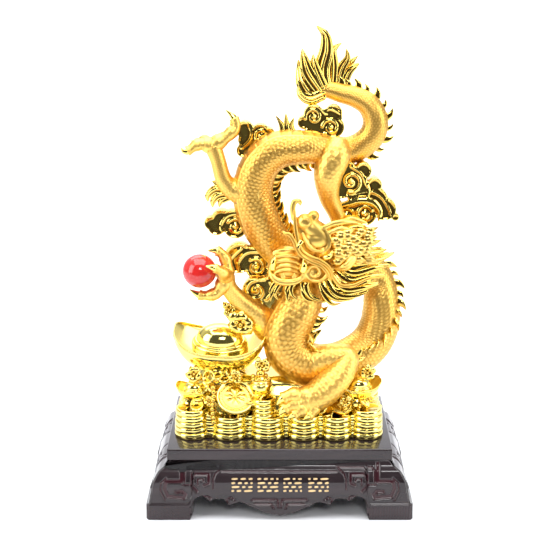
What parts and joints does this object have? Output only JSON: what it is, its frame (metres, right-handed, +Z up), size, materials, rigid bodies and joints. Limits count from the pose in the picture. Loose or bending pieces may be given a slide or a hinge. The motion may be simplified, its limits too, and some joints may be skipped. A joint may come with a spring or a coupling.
{
  "type": "dragon ornament",
  "caption": "Gilded dragon coiled over coins and ingots among scrolled clouds, holding a red ball, on a dark footed plinth.",
  "frame": {"origin": "on the ground, under the middle of the plinth", "axes": "+X to the viewer's right, +Y away from the viewer, +Z up; the dragon's panel side of the plinth faces -Y"},
  "size_m": [0.171, 0.118, 0.3116],
  "materials": {
    "dark_resin": "glossy, very dark reddish brown",
    "gold_coat": "gold-coloured metallic coat, satin on the scaled skin and polished on hair, clouds, ingots and coins",
    "red_ball": "glossy coral red"
  },
  "bodies": {
    "root": {"plinth": "dark_resin", "dragon": "gold_coat", "pearl": "red_ball"}
  },
  "joints": []
}
